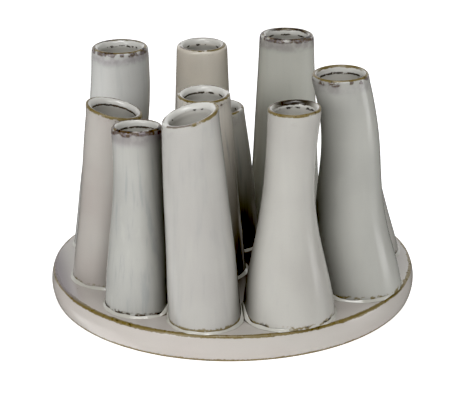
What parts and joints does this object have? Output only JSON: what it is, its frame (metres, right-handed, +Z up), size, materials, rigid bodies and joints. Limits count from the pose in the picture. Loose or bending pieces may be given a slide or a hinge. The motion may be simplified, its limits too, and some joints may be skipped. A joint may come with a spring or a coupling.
{
  "type": "flower frog",
  "caption": "Glazed ceramic flower frog: a cluster of leaning, slightly flared stem tubes, each holding water, standing on one round disc.",
  "frame": {"origin": "middle of the disc's underside, on the surface that the disc rests on", "axes": "+Z up out of the tubes' mouths, -Y towards the front, +X to the right seen from the front"},
  "size_m": [0.2, 0.2, 0.1294],
  "materials": {
    "disc_glaze": "gloss reactive glaze, brown where it breaks over the edges",
    "tube_glaze": "gloss reactive glaze, grey to off-white, olive-brown at the lips",
    "bead_glaze": "gloss pooled glaze"
  },
  "bodies": {
    "root": {"base_disc": "disc_glaze", "tube_front_centre": "tube_glaze", "tube_front_left": "tube_glaze", "tube_left": "tube_glaze", "tube_back_left": "tube_glaze", "tube_back_centre": "tube_glaze", "tube_back_right": "tube_glaze", "tube_right_back": "tube_glaze", "tube_right": "tube_glaze", "tube_front_right": "tube_glaze", "tube_inner_front": "tube_glaze", "tube_inner_back": "tube_glaze", "bead_front_centre": "bead_glaze", "bead_front_left": "bead_glaze", "bead_left": "bead_glaze", "bead_back_left": "bead_glaze", "bead_back_centre": "bead_glaze", "bead_back_right": "bead_glaze", "bead_right_back": "bead_glaze", "bead_right": "bead_glaze", "bead_front_right": "bead_glaze", "bead_inner_front": "bead_glaze", "bead_inner_back": "bead_glaze"}
  },
  "joints": []
}
